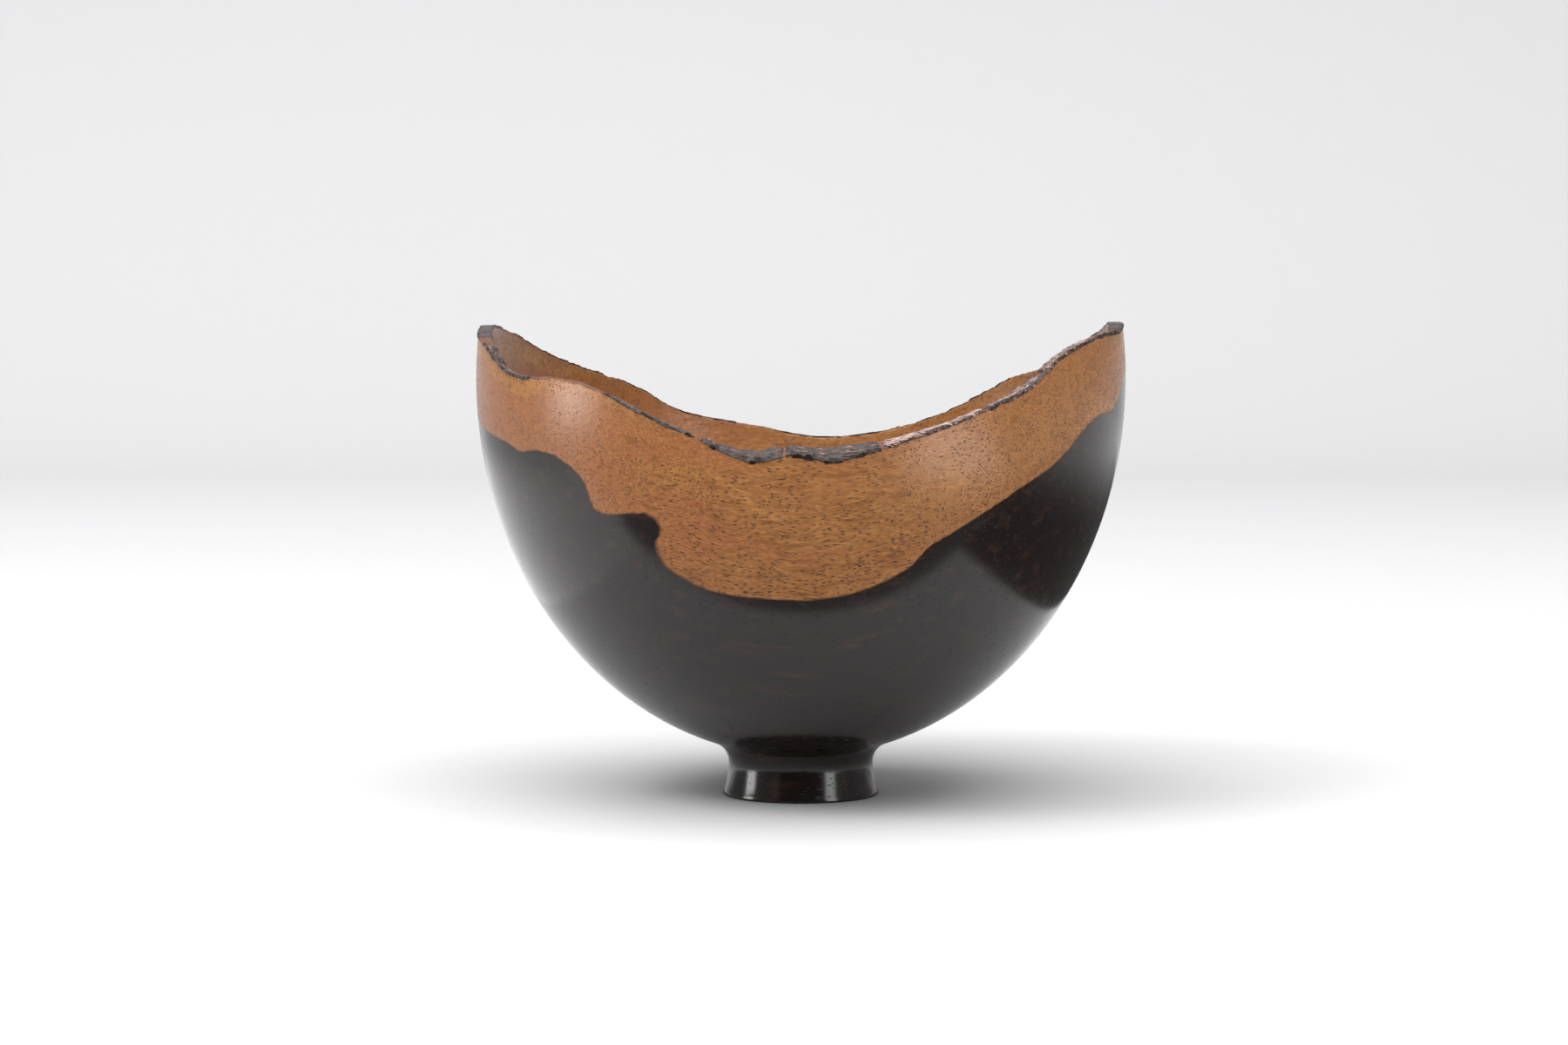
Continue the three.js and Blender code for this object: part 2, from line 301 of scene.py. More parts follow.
def edge_rings(node, outside, inside):
    """The closed lines where a layer's outside ends, as rows of angle, outer height and inner height."""
    mesh = bmesh.new()
    mesh.from_mesh(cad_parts[node].data)
    bmesh.ops.remove_doubles(mesh, verts=mesh.verts, dist=WELD)
    outer = [vertex for vertex in mesh.verts if outside.holds(vertex.co)]
    inner = {vertex for vertex in mesh.verts if inside.holds(vertex.co)} - set(outer)
    edge = [vertex for vertex in outer if inner.intersection(neighbours(vertex))]
    rings = []
    while edge:
        rows = []
        for vertex in walk_ring(edge):
            facing = [other for other in neighbours(vertex) if other in inner]
            partner = min(facing, key=lambda other: angle_between(angle_of(other), angle_of(vertex)))
            rows.append([angle_of(vertex), vertex.co.z, partner.co.z])
        ring = np.array(rows)
        ring[:, 0] = np.unwrap(ring[:, 0])
        rings.append(ring)
    mesh.free()
    return rings


def wrapped(angles):
    return (angles + math.pi) % math.tau - math.pi


def finer(line, turn=0.0):
    """A closed line with FINE_COLUMNS times as many values, on a smooth curve. One lap adds turn to it."""
    padded = np.concatenate([line[-1:] - turn, line, line[:2] + turn])
    before, here, after, beyond = (padded[place : place + len(line), None] for place in range(4))
    t = np.arange(FINE_COLUMNS) / FINE_COLUMNS
    square = 2 * before - 5 * here + 4 * after - beyond
    cube = 3 * here - before - 3 * after + beyond
    return (here + 0.5 * t * (after - before + t * (square + t * cube))).ravel()


def evened(angles):
    """Each angle averaged with its neighbours on both sides."""
    places = np.arange(len(angles))
    rolled = []
    for step in range(-EVEN_REACH, EVEN_REACH + 1):
        laps, place = np.divmod(places + step, len(angles))
        rolled.append(angles[place] + math.tau * laps)
    return np.mean(rolled, axis=0)


def fibre_noise(points, scale, seed):
    """Noise from -1 to 1 at each point, drawn out along the log's length as the wood's fibres are."""
    stretch = Vector((1 / (6 * scale), 1 / scale, 1 / scale))
    shift = Vector((seed * 7.3, seed * 3.1, seed * 5.7))
    values = [noise.noise(Vector(point) * stretch + shift) for point in points.reshape(-1, 3)]
    return np.array(values).reshape(points.shape[:-1])


def halfway_ring(low, top, radius):
    """The ring halfway between two neighbouring rings."""
    middle = []
    for angle, outer, inner in low:
        away = np.hypot(wrapped(top[:, 0] - angle) * radius, top[:, 1] - outer)
        near = top[np.argmin(away)]
        middle.append([angle + wrapped(near[0] - angle) / 2, (outer + near[1]) / 2, (inner + near[2]) / 2])
    return np.array(middle)


def growth_lines(sizes):
    """The heart line and the rim on fine columns that both woods share."""
    outside, inside = turned_curves(sizes)
    rim, low = sorted(edge_rings("sapwood_wall", outside, inside), key=lambda ring: -ring[:, 1].mean())
    top = edge_rings("heartwood_bowl", outside, inside)[0]
    seam = halfway_ring(low, top, sizes.radius)
    plain = evened(seam[:, 0])
    shifts = range(-len(rim) // 2, len(rim) // 2)
    best = min(shifts, key=lambda shift: np.square(wrapped(np.roll(rim[:, 0], shift) - plain)).sum())
    rim = np.roll(rim, best, axis=0)
    rim[:, 0] = plain + wrapped(rim[:, 0] - plain)
    lines = {
        "seam_angle": finer(seam[:, 0], math.tau),
        "seam_outer": finer(seam[:, 1]),
        "seam_inner": finer(seam[:, 2]),
        "rim_angle": finer(rim[:, 0], math.tau),
        "rim_outer": finer(rim[:, 1]),
        "rim_inner": finer(rim[:, 2]),
        "plain": finer(plain, math.tau),
    }
    points = polar(lines["seam_angle"], sizes.radius, lines["seam_outer"])
    lines["seam_angle"] += fibre_noise(points, SEAM_GRAIN, 1) * sizes.fibre_wobble / sizes.radius
    lift = fibre_noise(points, SEAM_GRAIN, 2) + 0.5 * fibre_noise(points, SEAM_FINE_GRAIN, 3)
    lift *= sizes.fibre_wobble
    lines["seam_outer"] += lift
    lines["seam_inner"] += lift
    points = polar(lines["rim_angle"], sizes.radius, lines["rim_outer"])
    lines["rim_outer"] += rim_raggedness(points, sizes)
    points = polar(lines["rim_angle"], sizes.radius - sizes.wall, lines["rim_inner"])
    lines["rim_inner"] += rim_raggedness(points, sizes)
    lines["base_angle"] = 2 * lines["plain"] - lines["rim_angle"]
    return lines


def rim_raggedness(points, sizes):
    broad = fibre_noise(points, RIM_GRAIN, 4)
    fine = fibre_noise(points, RIM_FINE_GRAIN, 5)
    return (0.6 * broad + 0.5 * fine) * sizes.rim_wobble


# Making a piece.


def deselect():
    if bpy.context.object and bpy.context.object.mode != "OBJECT":
        bpy.ops.object.mode_set(mode="OBJECT")
    bpy.ops.object.select_all(action="DESELECT")


def vertex_places(mesh):
    places = np.empty(len(mesh.vertices) * 3)
    mesh.vertices.foreach_get("co", places)
    return places.reshape(-1, 3)


def rolled_piece(name, grid, attributes, closed_section, full_turn=True):
    """Rolls a flat grid round the turning axis, with each of its corners put in its place.

    grid holds the places by column and row, and attributes holds a number by column and row for each name.
    A closed section runs back from its last row to its first, and a full turn from its last column to its
    first.
    """
    columns, rows = grid.shape[:2]
    steps = columns if full_turn else columns - 1
    rungs = rows if closed_section else rows - 1
    deselect()
    bpy.ops.mesh.primitive_grid_add(x_subdivisions=steps, y_subdivisions=rungs, size=1)
    piece = bpy.context.object
    piece.name = name
    piece.data.name = name
    places = vertex_places(piece.data)
    column = np.rint((places[:, 0] + 0.5) * steps).astype(int) % columns
    row = np.rint((places[:, 1] + 0.5) * rungs).astype(int) % rows
    piece.data.vertices.foreach_set("co", grid[column, row].ravel())
    for label, values in attributes.items():
        layer = piece.data.attributes.new(label, "FLOAT", "POINT")
        spread = np.broadcast_to(values, (columns, rows))[column, row]
        layer.data.foreach_set("value", spread.astype(np.float32))
    bpy.ops.object.mode_set(mode="EDIT")
    bpy.ops.mesh.select_all(action="SELECT")
    bpy.ops.mesh.remove_doubles(threshold=WELD)
    bpy.ops.mesh.select_all(action="SELECT")
    bpy.ops.mesh.normals_make_consistent(inside=False)
    bpy.ops.object.mode_set(mode="OBJECT")
    bpy.ops.object.shade_smooth_by_angle(angle=SMOOTH_ANGLE)
    return piece


def finish_piece(piece, node, material):
    piece.data.materials.clear()
    piece.data.materials.append(material)
    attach(piece, "root")
    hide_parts(node)


def bezier(first, bend, last, steps):
    """Points on a curve after its first point, each as radius and height."""
    t = np.arange(1, steps + 1)[:, None] / steps
    first, bend, last = (np.array(point) for point in (first, bend, last))
    return (1 - t) ** 2 * first + 2 * t * (1 - t) * bend + t * t * last


def foot_outline(sizes, outside):
    """Radius and height from the middle of the underside, round the standing ring and up the cove."""
    ring_inside = sizes.foot_radius - sizes.foot_bevel - sizes.ring_width
    waist = sizes.foot_radius - sizes.flare_width
    cove_radius = waist + sizes.cove_width
    cove_top = float(outside.height_on(math.asin(cove_radius / sizes.radius)))
    recess_radius = ring_inside - RECESS_SLOPE
    recess = [
        [0, sizes.recess_depth],
        [ring_inside / 3, sizes.recess_depth],
        [ring_inside * 2 / 3, sizes.recess_depth],
        [recess_radius - SOFT_EDGE, sizes.recess_depth],
        [recess_radius + SOFT_EDGE, sizes.recess_depth - SOFT_EDGE],
        [ring_inside - SOFT_EDGE, SOFT_EDGE],
        [ring_inside + SOFT_EDGE, 0],
        [ring_inside + sizes.ring_width / 2, 0],
    ]
    turn = np.linspace(-math.pi / 2, 0, BEVEL_POINTS)
    bevel_radius = sizes.foot_radius - sizes.foot_bevel + sizes.foot_bevel * np.cos(turn)
    bevel = np.stack([bevel_radius, sizes.foot_bevel * (1 + np.sin(turn))], axis=1)
    arris = (waist, sizes.flare_height)
    flare_bend = (lerp(waist, sizes.foot_radius, FLARE_CURVE), sizes.flare_height / 2)
    flare = bezier((sizes.foot_radius, sizes.foot_bevel), flare_bend, arris, FLARE_STEPS)
    cove_bend = (waist - COVE_UNDERCUT, lerp(sizes.flare_height, cove_top, COVE_BEND))
    cove = bezier(arris, cove_bend, (cove_radius, cove_top), COVE_STEPS)
    return np.concatenate([recess, bevel, flare, cove])


def heartwood_grid(sizes, lines):
    """Places by column and row of the black body, from the foot over the heart line to the hollow."""
    outside, inside = turned_curves(sizes)
    outline = foot_outline(sizes, outside)
    base = lines["base_angle"][:, None]
    seam = lines["seam_angle"][:, None]
    foot = polar(base, outline[:, 0], outline[:, 1])
    share = np.arange(1, BODY_ROWS + 1) / BODY_ROWS
    low = outside.slope_at(outline[-1, 1])
    high = outside.slope_at(lines["seam_outer"])[:, None]
    body_height = outside.height_on(lerp(low, high, share))
    body = polar(lerp(base, seam, share**HEART_BLEND), outside.radius_at(body_height), body_height)
    share = np.arange(HOLLOW_ROWS, -1, -1) / HOLLOW_ROWS
    high = inside.slope_at(lines["seam_inner"])[:, None]
    hollow_height = inside.height_on(high * share)
    hollow = polar(lerp(base, seam, share**HEART_BLEND), inside.radius_at(hollow_height), hollow_height)
    return np.concatenate([foot, body, hollow], axis=1)


def sapwood_grid(sizes, lines):
    """Places by column and row of the tan wall: up its outside, over the rim, down its inside."""
    outside, inside = turned_curves(sizes)
    top = lines["rim_angle"][:, None]
    seam = lines["seam_angle"][:, None]

    def face(curve, low, high, rows):
        share = np.arange(rows + 1) / rows
        height = lerp(low[:, None], high[:, None] - RIM_ROUNDING, share)
        angle = lerp(top, seam, (1 - share) ** SAPWOOD_BLEND)
        return polar(angle, curve.radius_at(height), height), share

    outer, outer_share = face(outside, lines["seam_outer"], lines["rim_outer"], WALL_ROWS)
    inner, inner_share = face(inside, lines["seam_inner"], lines["rim_inner"], WALL_INSIDE_ROWS)
    across = np.array(RIM_SHARES)
    from_edge = np.minimum(across, 1 - across) * sizes.wall
    drop = RIM_ROUNDING * np.clip(1 - from_edge / RIM_ROUNDING, 0, 1) ** 2
    height = lerp(lines["rim_outer"][:, None], lines["rim_inner"][:, None], across) - drop
    radius = lerp(outside.radius_at(height), inside.radius_at(height), across)
    rim = polar(top, radius, height)
    rim[..., 2] += RIM_FACE_RELIEF * fibre_noise(rim, RIM_FACE_GRAIN, 6)
    grid = np.concatenate([outer, rim, inner[:, ::-1]], axis=1)
    layer = np.concatenate([outer_share, np.ones(len(across)), inner_share[::-1]])
    on_rim = np.concatenate([0 * outer_share, np.ones(len(across)), 0 * inner_share])
    on_rim[WALL_ROWS] = 0.5
    on_rim[WALL_ROWS + len(across) + 1] = 0.5
    depth = (lines["rim_outer"] - lines["seam_outer"])[:, None]
    return grid, {"layer": layer, "rim_face": on_rim, "above_heart": layer * depth / MM}


def bark_span(node):
    """The first and last angle that a bark plate covers, and the places of the model's own plate."""
    places = vertex_places(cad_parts[node].data)
    angles = np.arctan2(places[:, 1], places[:, 0])
    middle = math.atan2(places[:, 1].mean(), places[:, 0].mean())
    spread = wrapped(angles - middle)
    reach = BARK_SPREAD / np.hypot(places[:, 0], places[:, 1]).mean()
    return middle + spread.min() - reach, middle + spread.max() + reach, places


def bark_thickness(places, first, last, lines):
    """How high a bark plate of the model stands above the rim, at its middle."""
    angles = np.arctan2(places[:, 1], places[:, 0])
    middle = (first + last) / 2
    near = np.abs(wrapped(angles - middle)) < (last - first) / 4
    rim = np.interp(
        (angles[near] - lines["rim_angle"][0]) % math.tau,
        lines["rim_angle"] - lines["rim_angle"][0],
        np.maximum(lines["rim_outer"], lines["rim_inner"]),
    )
    return max(PLATE_THINNEST, float((places[near, 2] - rim).max()))


def bark_wear(middle, thickness, relief):
    """How worn a plate is: the thickness it keeps, the depth of its flakes and how pale it is."""
    along_log = math.cos(middle)
    if math.sin(middle) > 0:
        return thickness * FAR_SHARE, relief * FAR_RELIEF, FLUSH_PALENESS
    if abs(along_log) > TIP_COSINE:
        return thickness * FAR_SHARE, relief * TIP_RELIEF, FLUSH_PALENESS
    wear = float(np.clip((WORN_BELOW - thickness) / WORN_RANGE, 0, 1))
    paleness = wear * (FRONT_PALENESS - along_log) if along_log > 0 else 0.0
    kept = thickness * lerp(BARK_SHARE, WORN_SHARE, wear)
    return kept, relief * lerp(1, WORN_RELIEF, wear), paleness


def terraced(height, step):
    """Height in flat steps with steep faces between them, as layers that flake off one by one."""
    whole = np.floor(height / step)
    part = height / step - whole
    return step * (whole + np.clip((part - 0.5) / 0.3 + 0.5, 0, 1))


def bark_grid(sizes, lines, first, last, thickness, seed):
    """Places by column and row of one bark plate: over its top and back underneath."""
    outside, inside = turned_curves(sizes)
    kept, relief, paleness = bark_wear((first + last) / 2, thickness, sizes.bark_relief)
    columns = int((last - first) * sizes.radius / BARK_GRAIN)
    across = np.linspace(0, 1, BARK_ROWS)
    angle = lerp(first, last, np.linspace(0, 1, columns)[:, None])
    start = lines["rim_angle"][0]
    turn = np.append(lines["rim_angle"] - start, math.tau)

    def line(name):
        return np.interp((angle - start) % math.tau, turn, np.append(lines[name], lines[name][0]))

    rim = lerp(line("rim_inner"), line("rim_outer"), across)
    radius = lerp(inside.radius_at(rim), outside.radius_at(rim), across)
    under = polar(angle, radius, rim)
    coarse = fibre_noise(under, FLAKE_GRAIN, seed)
    strips = fibre_noise(under, STRIP_GRAIN, seed + 10)
    crumbs = fibre_noise(under, CRUMB_GRAIN, seed + 40)

    # A plate thins out raggedly towards its ends and its sides.
    from_end = np.minimum(angle - first, last - angle) * sizes.radius + (1.6 * strips + 0.8 * crumbs) * MM
    ends = np.clip(from_end / END_TAPER, 0, 1)
    from_side = np.minimum(across, 1 - across) * sizes.wall + 0.35 * MM * strips
    sides = np.clip(from_side / SIDE_TAPER, 0, 1) ** 0.5

    # Its top is flat flakes in steps, lower along the inner edge.
    flakes = terraced(0.9 * coarse + 0.9 * strips, FLAKE_STEP) * lerp(INNER_RELIEF, 1, across)
    full = kept * lerp(INNER_SHARE, 1, across) + relief * (flakes + 0.3 * crumbs)
    full = np.clip(full, BARK_THINNEST, None) * ends**0.6 * sides
    full[0] = 0
    full[-1] = 0
    height = rim + full - BARK_SINK * (ends > 0)

    # Along the outer edge it hangs down over the outside in a ragged lip.
    lip = np.clip((across - LIP_START) / (1 - LIP_START), 0, 1)
    ragged = np.clip(terraced(coarse[:, -1:] + 0.8 * strips[:, -1:], 0.3) + 0.35, 0, 1)
    hang = relief * LIP_HANG * ragged * ends * lip
    out = BARK_OVERHANG * (0.3 + strips) * ends * lerp(-1, 1, across) + LIP_OUT * lip
    top = polar(angle, radius + out, height - hang)
    under[..., 2] -= BARK_SINK * 2.2 + hang
    under[0] = top[0]
    under[-1] = top[-1]
    # Painted light: the higher a point stands on the flakes, the paler it is painted, as highlight. The
    # hollows and the hanging lip are painted darker, as shade.
    height_share = np.clip(full / (kept + relief), 0, 1) * (1 - 0.7 * lip)
    grid = np.concatenate([top, under[:, ::-1]], axis=1)
    crest_light_and_shade = np.concatenate([height_share, np.zeros_like(height_share)], axis=1)
    return grid, {"crest_light_and_shade": crest_light_and_shade, "paleness": np.array(paleness)}


# Materials.


def add(tree, kind, inputs=None, **settings):
    """Adds one node with its settings. Each input is a value, or the socket that feeds it."""
    node = tree.nodes.new(kind)
    for name, value in settings.items():
        setattr(node, name, value)
    for name, value in (inputs or {}).items():
        if isinstance(value, bpy.types.NodeSocket):
            tree.links.new(value, node.inputs[name])
        else:
            node.inputs[name].default_value = value
    return node


def maths(tree, operation, first, second=0.0, clamp=False):
    node = add(tree, "ShaderNodeMath", {0: first, 1: second}, operation=operation, use_clamp=clamp)
    return node.outputs[0]


def remap(tree, value, low, high, new_low=0.0, new_high=1.0, smooth=True):
    """Turns low to high into new_low to new_high."""
    kind = "SMOOTHSTEP" if smooth else "LINEAR"
    sockets = {"Value": value, "From Min": low, "From Max": high, "To Min": new_low, "To Max": new_high}
    return add(tree, "ShaderNodeMapRange", sockets, interpolation_type=kind).outputs[0]


def blend_colour(tree, share, first, second, mode="MIX"):
    node = add(tree, "ShaderNodeMix", {0: share, 6: first, 7: second}, data_type="RGBA", blend_type=mode)
    return node.outputs[2]


def vector_maths(tree, operation, first, second):
    return add(tree, "ShaderNodeVectorMath", {0: first, 1: second}, operation=operation).outputs[0]


def noise_field(tree, place, detail, size=1.0):
    """Noise from 0 to 1 whose grains are `size` units of place across."""
    inputs = {"Vector": place, "Scale": 1 / size, "Detail": detail}
    return add(tree, "ShaderNodeTexNoise", inputs).outputs[0]


def bumped(tree, height, distance, strength):
    inputs = {"Height": height, "Distance": distance, "Strength": strength}
    return add(tree, "ShaderNodeBump", inputs).outputs[0]


def attribute(tree, name):
    return add(tree, "ShaderNodeAttribute", attribute_name=name).outputs["Fac"]


def new_material(name):
    material = bpy.data.materials.new(name)
    material.use_nodes = True
    material.node_tree.nodes.clear()
    return material, material.node_tree


def surface(tree, colour, roughness, normal, **uniform):
    inputs = {"Base Color": colour, "Roughness": roughness, "Normal": normal}
    shader = add(tree, "ShaderNodeBsdfPrincipled", inputs)
    for name, value in uniform.items():
        shader.inputs[name.replace("_", " ")].default_value = value
    add(tree, "ShaderNodeOutputMaterial", {0: shader.outputs[0]})


def place_in_mm(tree):
    """The place in the wood in millimetres, as it is and curled a little as the fibres are."""
    coordinates = add(tree, "ShaderNodeTexCoord").outputs["Object"]
    place = vector_maths(tree, "MULTIPLY", coordinates, (1 / MM, 1 / MM, 1 / MM))
    inputs = {"Vector": place, "Scale": 1 / 16, "Detail": 1.5}
    curl = add(tree, "ShaderNodeTexNoise", inputs).outputs["Color"]
    curl = vector_maths(tree, "SUBTRACT", curl, (0.5, 0.5, 0.5))
    curl = vector_maths(tree, "MULTIPLY", curl, (0, 5, 5))
    return place, vector_maths(tree, "ADD", place, curl)


def stretched(tree, place, along, across):
    """Coordinates whose unit is `along` mm along the log and `across` mm in the other two directions."""
    return vector_maths(tree, "MULTIPLY", place, (1 / along, 1 / across, 1 / across))


def pores(tree, place, along, across, radius, kept):
    """Vessels cut open by the tool: 1 in a pore and 0 between them. kept is the share that shows."""
    place = stretched(tree, place, along, across)
    cells = add(tree, "ShaderNodeTexVoronoi", {"Vector": place, "Scale": 1.0})
    hole = remap(tree, cells.outputs["Distance"], radius / across * 0.55, radius / across * 1.15, 1.0, 0.0)
    draw = add(tree, "ShaderNodeSeparateColor", {0: cells.outputs["Color"]}).outputs[0]
    return maths(tree, "MULTIPLY", hole, maths(tree, "LESS_THAN", draw, kept))


def oiled_sapwood(colours):
    """Tan sapwood, turned, sanded fine and oiled: warm satin with dark open pores and soft layers."""
    material, tree = new_material("oiled_sapwood")
    place, grain = place_in_mm(tree)
    layer = attribute(tree, "layer")
    rim_face = attribute(tree, "rim_face")
    above = attribute(tree, "above_heart")
    split = add(tree, "ShaderNodeSeparateXYZ", {0: place})

    # Soft growth layers between the heart line and the rim, redder towards -X.
    slow = noise_field(tree, place, 1.0, 26)
    depth = maths(tree, "ADD", maths(tree, "MULTIPLY", layer, 2.2), maths(tree, "MULTIPLY", slow, 1.2))
    along = maths(tree, "MULTIPLY", split.outputs[0], 1 / 70)
    wide = add(tree, "ShaderNodeCombineXYZ", {0: depth, 1: along}).outputs[0]
    bands = noise_field(tree, wide, 2.0, 1 / 1.3)
    redder = remap(tree, split.outputs[0], 0.0, -58.0, 0.0, 0.24)
    red = remap(tree, maths(tree, "ADD", bands, redder), 0.5, 0.78, 0.0, 0.8)
    pale = remap(tree, bands, 0.46, 0.3, 0.0, 0.35)
    colour = blend_colour(tree, red, list(colours.sapwood), list(colours.sapwood_red))
    colour = blend_colour(tree, pale, colour, list(colours.sapwood_pale))

    # Lengthwise streaks 1.5 mm wide, and fibres 0.3 mm wide and 2.4 mm long.
    streaks = noise_field(tree, stretched(tree, grain, 14.0, 1.5), 2.0)
    colour = blend_colour(tree, remap(tree, streaks, 0.48, 0.7, 0.0, 0.65), colour, list(colours.streak))
    fibres = noise_field(tree, stretched(tree, grain, 2.4, 0.32), 2.0)
    dark_fibres = remap(tree, fibres, 0.47, 0.64, 0.0, 0.45)
    pale_fibres = remap(tree, fibres, 0.47, 0.34, 0.0, 0.35)
    colour = blend_colour(tree, dark_fibres, colour, list(colours.streak))
    colour = blend_colour(tree, pale_fibres, colour, list(colours.sapwood_pale))

    # Pores 0.3 mm across, coarser than real ones so that they show: short ones in patches, and longer
    # ones thick above the heart line.
    patches = noise_field(tree, place, 1.0, 11)
    bare_left = remap(tree, red, 0.25, 0.6, 1.0, 0.12)
    kept = maths(tree, "MULTIPLY", remap(tree, patches, 0.36, 0.56, 0.1, 0.85), bare_left)
    short_pores = pores(tree, grain, 1.9, 0.45, 0.14, kept)
    long_pores = pores(tree, grain, 5.0, 0.5, 0.14, remap(tree, above, 13.0, 2.0, 0.06, 0.9))
    pore = maths(tree, "MAXIMUM", short_pores, long_pores)
    colour = blend_colour(tree, maths(tree, "MULTIPLY", pore, 0.92), colour, list(colours.pore))

    # A thin stain along the heart line, and the bare rim face where the bark has come away.
    stain = remap(tree, above, 0.45, 0.05, 0.0, 0.75)
    colour = blend_colour(tree, stain, colour, list(colours.pore))
    flecks = noise_field(tree, stretched(tree, place, 2.5, 0.5), 3.0)
    bare = blend_colour(tree, remap(tree, flecks, 0.4, 0.62), list(colours.bark), list(colours.rim))
    colour = blend_colour(tree, remap(tree, rim_face, 0.3, 0.9), colour, bare)

    roughness = maths(tree, "ADD", 0.22, maths(tree, "MULTIPLY", fibres, 0.12))
    roughness = maths(tree, "ADD", roughness, maths(tree, "MULTIPLY", pore, 0.35))
    roughness = maths(tree, "ADD", roughness, maths(tree, "MULTIPLY", rim_face, 0.4), clamp=True)
    height = maths(tree, "SUBTRACT", maths(tree, "MULTIPLY", fibres, 0.12), pore)
    surface(tree, colour, roughness, bumped(tree, height, 0.03 * MM, 0.6), IOR=1.4)
    return material


def oiled_blackwood(colours):
    """African blackwood heartwood, dense and polished: almost black, with a crisp satin gloss."""
    material, tree = new_material("oiled_blackwood")
    place, grain = place_in_mm(tree)

    # Faint warmer streaks 2.4 mm wide.
    streaks = noise_field(tree, stretched(tree, grain, 30.0, 2.4), 3.0)
    warm = remap(tree, streaks, 0.52, 0.74, 0.0, 0.8)
    colour = blend_colour(tree, warm, list(colours.heartwood), list(colours.heart_streak))

    # Pores in patches, which only show as breaks in the gloss.
    patches = noise_field(tree, place, 1.0, 14)
    pore = pores(tree, grain, 3.2, 0.47, 0.13, remap(tree, patches, 0.4, 0.6, 0.05, 0.5))
    fibres = noise_field(tree, stretched(tree, grain, 6.0, 0.3), 2.0)
    roughness = maths(tree, "ADD", 0.12, maths(tree, "MULTIPLY", fibres, 0.08))
    roughness = maths(tree, "ADD", roughness, maths(tree, "MULTIPLY", pore, 0.35), clamp=True)
    height = maths(tree, "SUBTRACT", maths(tree, "MULTIPLY", fibres, 0.1), pore)
    surface(tree, colour, roughness, bumped(tree, height, 0.02 * MM, 0.35), IOR=1.5)
    return material


def inner_bark(colours):
    """Dry inner bark with a little oil: dark reddish hollows with painted shade, mauve-grey crests with
    painted highlights, and a broken shine.
    """
    material, tree = new_material("inner_bark")
    grain = place_in_mm(tree)[1]
    crest_light_and_shade = maths(tree, "MULTIPLY", attribute(tree, "crest_light_and_shade"), 0.25)
    paleness = maths(tree, "MULTIPLY", attribute(tree, "paleness"), 0.17)

    # Strands 0.4 mm wide and 3 mm long. The higher on the flakes, the paler: painted highlight on the
    # crests, and painted shade in the hollows and along the hanging lip.
    strands = noise_field(tree, stretched(tree, grain, 3.0, 0.4), 4.0)
    tone = maths(tree, "ADD", crest_light_and_shade, maths(tree, "MULTIPLY", strands, 1.1))
    tone = maths(tree, "ADD", tone, paleness)
    colour = blend_colour(tree, remap(tree, tone, 0.6, 0.88), list(colours.bark_dark_and_shade), list(colours.bark))
    colour = blend_colour(tree, remap(tree, tone, 0.78, 0.94, 0.0, 0.95), colour, list(colours.bark_pale_and_highlight))
    roughness = remap(tree, strands, 0.35, 0.65, 0.16, 0.5)
    surface(tree, colour, roughness, bumped(tree, strands, 0.35 * MM, 0.9), IOR=1.5)
    return material


def painted_floor(colours):
    """Matt pale paint with the faint stipple of a roller, 1.4 mm across."""
    material, tree = new_material("painted_floor")
    coordinates = add(tree, "ShaderNodeTexCoord").outputs["Object"]
    stipple = noise_field(tree, coordinates, 2.0, MM / 0.7)
    normal = bumped(tree, stipple, 0.05 * MM, 0.3)
    surface(tree, list(colours.floor), 0.9, normal, Specular_IOR_Level=0.0)
    return material


def glowing_card(name, glow):
    """A card that glows evenly, or as strongly as a function of its place in the room says."""
    material, tree = new_material(name)
    strength = glow
    if callable(glow):
        place = add(tree, "ShaderNodeNewGeometry").outputs["Position"]
        strength = glow(tree, add(tree, "ShaderNodeSeparateXYZ", {0: place}).outputs)
    emission = add(tree, "ShaderNodeEmission", {"Color": (1, 1, 1, 1), "Strength": strength})
    add(tree, "ShaderNodeOutputMaterial", {0: emission.outputs[0]})
    return material


def fading(axis, start, end, first, last):
    """A glow that goes from first to last strength between two places on an axis of the room."""
    return lambda tree, place: remap(tree, place[axis], start, end, first, last)


# Operators.


class BOWL_OT_heartwood(bpy.types.Operator):
    """Makes the black heartwood body with its foot"""

    bl_idname = "bowl.heartwood"
    bl_label = "Heartwood Body"

    def execute(self, context):
        sizes = context.scene.bowl_sizes
        grid = heartwood_grid(sizes, growth_lines(sizes))
        piece = rolled_piece("turned_heartwood", grid, {}, closed_section=False)
        finish_piece(piece, "heartwood_bowl", oiled_blackwood(context.scene.bowl_colours))
        return {"FINISHED"}


class BOWL_OT_sapwood(bpy.types.Operator):
    """Makes the tan sapwood wall up to the rim"""

    bl_idname = "bowl.sapwood"
    bl_label = "Sapwood Wall"

    def execute(self, context):
        sizes = context.scene.bowl_sizes
        grid, attributes = sapwood_grid(sizes, growth_lines(sizes))
        piece = rolled_piece("turned_sapwood", grid, attributes, closed_section=True)
        finish_piece(piece, "sapwood_wall", oiled_sapwood(context.scene.bowl_colours))
        return {"FINISHED"}


class BOWL_OT_bark(bpy.types.Operator):
    """Makes the remnants of inner bark on the rim"""

    bl_idname = "bowl.bark"
    bl_label = "Bark Remnants"

    def execute(self, context):
        sizes = context.scene.bowl_sizes
        lines = growth_lines(sizes)
        material = inner_bark(context.scene.bowl_colours)
        nodes = sorted(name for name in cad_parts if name.startswith("bark_"))
        for seed, node in enumerate(nodes, start=10):
            first, last, places = bark_span(node)
            thickness = bark_thickness(places, first, last, lines)
            grid, attributes = bark_grid(sizes, lines, first, last, thickness, seed)
            piece = rolled_piece(f"{node}_flakes", grid, attributes, closed_section=True, full_turn=False)
            finish_piece(piece, node, material)
        return {"FINISHED"}


